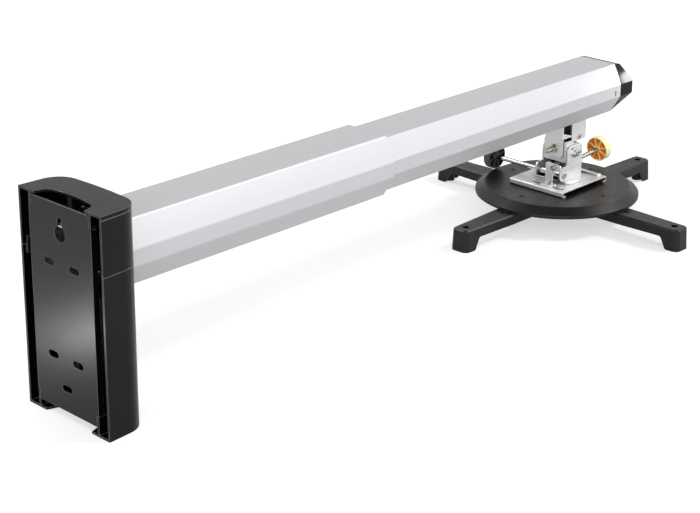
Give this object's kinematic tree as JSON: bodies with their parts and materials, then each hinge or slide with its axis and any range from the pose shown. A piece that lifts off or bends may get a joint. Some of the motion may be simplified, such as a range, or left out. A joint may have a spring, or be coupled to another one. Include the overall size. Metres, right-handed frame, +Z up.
{
  "type": "projector wall mount",
  "caption": "Telescoping wall boom with a covered wall plate, a tilt, roll and swivel head worked by thumbwheels, and a round spider plate with slotted arms for a projector.",
  "frame": {"origin": "on the wall plate's back face, at the centre of its four wall slots", "axes": "+X from the wall out along the boom, +Y across the boom, +Z up"},
  "size_m": [1.3535, 0.5396, 0.32],
  "materials": {
    "tube_aluminium": "satin anodised",
    "silver_sheet": "silver, satin",
    "plate_sheet": "black, satin",
    "cover_shell": "black, fine grain",
    "cap_plastic": "black, gloss",
    "spider_plastic": "black, fine grain",
    "knob_black": "black",
    "knob_yellow": "yellow",
    "glide_plastic": "black",
    "bright_steel": "zinc plated",
    "dark_steel": "blackened"
  },
  "bodies": {
    "wall_unit": {"wall_plate": "plate_sheet", "tube_socket": "plate_sheet", "socket_screws": "bright_steel", "upper_cover": "cover_shell", "lower_cover": "cover_shell", "outer_tube": "tube_aluminium", "front_glide": "glide_plastic"},
    "boom": {"inner_tube": "tube_aluminium", "rear_glide": "glide_plastic", "end_cap": "cap_plastic", "hanger_bracket": "silver_sheet", "hanger_bolts": "bright_steel", "hanger_pin": "bright_steel", "roll_bolts": "bright_steel", "roll_nuts": "bright_steel", "roll_washers": "bright_steel"},
    "cradle": {"roll_bracket": "silver_sheet", "pitch_bolts": "bright_steel", "pitch_nuts": "bright_steel", "pitch_washers": "bright_steel"},
    "turret": {"turret": "silver_sheet", "rod_spacers": "bright_steel"},
    "cross_knob": {"cross_rod": "bright_steel", "cross_wheel": "knob_black"},
    "trunnion": {"trunnion": "bright_steel"},
    "yoke": {"rod_yoke": "bright_steel"},
    "pitch_knob": {"pitch_rod": "bright_steel", "rod_collars": "bright_steel", "pitch_wheel": "knob_yellow"},
    "platform": {"base_plate": "silver_sheet", "base_screws": "bright_steel", "lock_tab": "silver_sheet", "lock_screw": "bright_steel", "lock_bolt": "bright_steel", "swivel_pivot": "bright_steel", "spider_plate": "spider_plastic"},
    "arm_clamp_outer": {"arm_screw_outer": "dark_steel"},
    "arm_outer": {"arm_outer": "spider_plastic"},
    "arm_clamp_left": {"arm_screw_left": "dark_steel"},
    "arm_left": {"arm_left": "spider_plastic"},
    "arm_clamp_inner": {"arm_screw_inner": "dark_steel"},
    "arm_inner": {"arm_inner": "spider_plastic"},
    "arm_clamp_right": {"arm_screw_right": "dark_steel"},
    "arm_right": {"arm_right": "spider_plastic"}
  },
  "joints": [
    {"name": "boom_extend", "type": "slide", "parent": "wall_unit", "child": "boom", "axis": [1, 0, 0], "range_m": [-0.4, 0]},
    {"name": "roll", "type": "hinge", "parent": "boom", "child": "cradle", "pos_m": [1.076, 0, -0.02], "axis": [1, 0, 0], "range_deg": [-6, 6]},
    {"name": "pitch", "type": "hinge", "parent": "cradle", "child": "turret", "pos_m": [1.096, 0, -0.0285], "axis": [0, 1, 0], "range_deg": [-10, 10]},
    {"name": "yoke_tilt", "type": "hinge", "parent": "cradle", "child": "yoke", "pos_m": [1.10796, 0, -0.06006], "axis": [0, 1, 0], "range_deg": [-8.5, 8.5]},
    {"name": "pitch_knob_turn", "type": "hinge", "parent": "yoke", "child": "pitch_knob", "pos_m": [1.10796, 0, -0.06006], "axis": [0.9966, 0, 0.0828], "range_deg": [-720, 720]},
    {"name": "trunnion_tilt", "type": "hinge", "parent": "turret", "child": "trunnion", "pos_m": [1.0665, 0, -0.0635], "axis": [0, 1, 0], "range_deg": [-3, 3]},
    {"name": "cross_knob_turn", "type": "hinge", "parent": "turret", "child": "cross_knob", "pos_m": [1.0665, 0, -0.0635], "axis": [0, 1, 0], "continuous": true},
    {"name": "swivel", "type": "hinge", "parent": "turret", "child": "platform", "pos_m": [1.0837, 0, -0.078], "axis": [0, 0, 1], "range_deg": [-10, 10]},
    {"name": "arm_outer_swing", "type": "hinge", "parent": "platform", "child": "arm_clamp_outer", "pos_m": [1.1837, 0, -0.106], "axis": [0, 0, 1], "range_deg": [-25, 25]},
    {"name": "arm_outer_slide", "type": "slide", "parent": "arm_clamp_outer", "child": "arm_outer", "axis": [1, 0, 0], "range_m": [-0.045, 0.008]},
    {"name": "arm_left_swing", "type": "hinge", "parent": "platform", "child": "arm_clamp_left", "pos_m": [1.0837, 0.1, -0.106], "axis": [0, 0, 1], "range_deg": [-25, 25]},
    {"name": "arm_left_slide", "type": "slide", "parent": "arm_clamp_left", "child": "arm_left", "axis": [0, 1, 0], "range_m": [-0.045, 0.008]},
    {"name": "arm_inner_swing", "type": "hinge", "parent": "platform", "child": "arm_clamp_inner", "pos_m": [0.9837, 0, -0.106], "axis": [0, 0, 1], "range_deg": [-25, 25]},
    {"name": "arm_inner_slide", "type": "slide", "parent": "arm_clamp_inner", "child": "arm_inner", "axis": [-1, 0, 0], "range_m": [-0.045, 0.008]},
    {"name": "arm_right_swing", "type": "hinge", "parent": "platform", "child": "arm_clamp_right", "pos_m": [1.0837, -0.1, -0.106], "axis": [0, 0, 1], "range_deg": [-25, 25]},
    {"name": "arm_right_slide", "type": "slide", "parent": "arm_clamp_right", "child": "arm_right", "axis": [0, -1, 0], "range_m": [-0.045, 0.008]}
  ],
  "couplings": [
    {"joint": "yoke_tilt", "follows": "pitch", "ratio": 0.7763},
    {"joint": "trunnion_tilt", "follows": "pitch", "ratio": -0.2237},
    {"joint": "pitch_knob_turn", "follows": "pitch", "ratio": 50.957}
  ]
}
